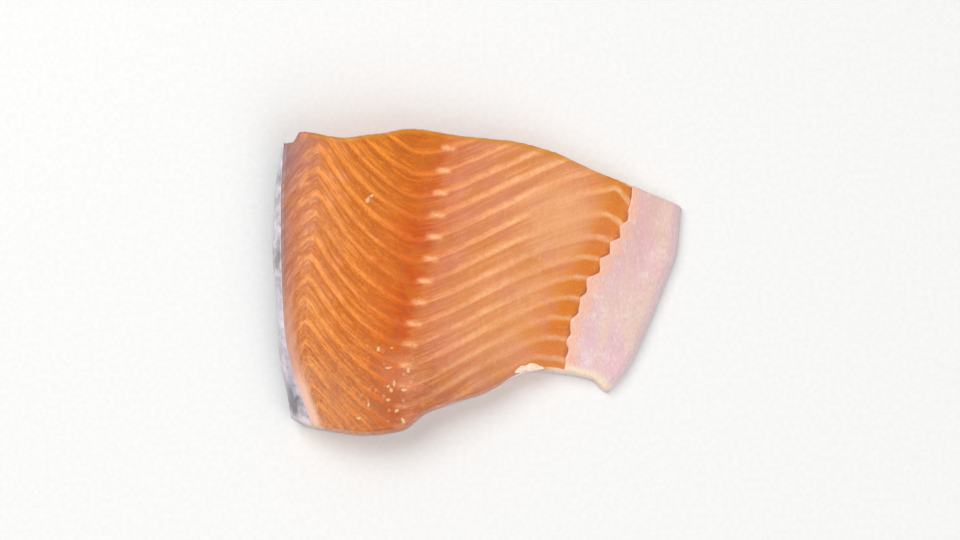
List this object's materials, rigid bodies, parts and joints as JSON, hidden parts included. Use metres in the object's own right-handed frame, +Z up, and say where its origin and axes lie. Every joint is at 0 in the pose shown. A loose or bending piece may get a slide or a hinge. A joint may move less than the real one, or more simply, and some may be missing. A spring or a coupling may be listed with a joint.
{
  "type": "raw salmon fillet",
  "caption": "Wide cut of raw salmon fillet lying skin down: orange flesh with pale muscle lines, silver skin up the back edge and a thin pale lining on the belly flap.",
  "frame": {"origin": "middle of the flat underside, on the surface that the fillet lies on", "axes": "+X across the fillet from the fish's back to its belly, +Y along the fish from tail to head, +Z up from the skin to the cut flesh"},
  "size_m": [0.1974, 0.1472, 0.028],
  "materials": {
    "flesh": "gloss",
    "skin": "satin",
    "belly_lining": "gloss"
  },
  "bodies": {
    "root": {"flesh": "flesh", "skin": "skin", "belly_lining": "belly_lining"}
  },
  "joints": []
}
